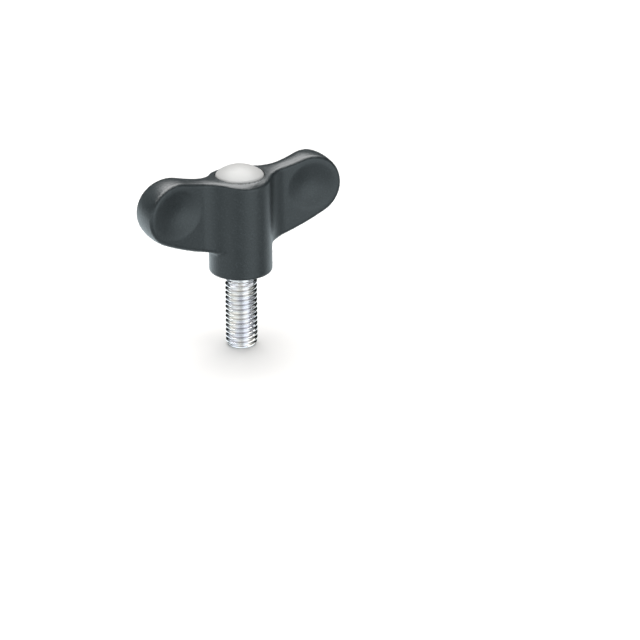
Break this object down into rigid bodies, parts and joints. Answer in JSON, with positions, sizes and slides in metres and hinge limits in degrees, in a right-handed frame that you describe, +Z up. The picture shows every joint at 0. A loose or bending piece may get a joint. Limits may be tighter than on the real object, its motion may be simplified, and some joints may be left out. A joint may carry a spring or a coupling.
{
  "type": "wing screw",
  "caption": "Moulded two-wing grip on a zinc-plated M8 x 20 threaded stud with a steel clamping collar, closed on top by a domed snap-in cover cap.",
  "frame": {"origin": "centre of the stud's tip face, on the stud's axis", "axes": "+Z up the stud's axis towards the cap, +X along the wings, +Y through the wings' thickness"},
  "size_m": [0.0534, 0.0156, 0.047],
  "materials": {
    "grip": "fine matt moulded grain, slate black glass-filled polyamide",
    "stud": "bright blue zinc plate on rolled and turned steel",
    "cap": "light grey, slightly glossy moulded plastic"
  },
  "bodies": {
    "root": {"wing_body": "grip", "threaded_stud": "stud", "cap": "cap"}
  },
  "joints": []
}
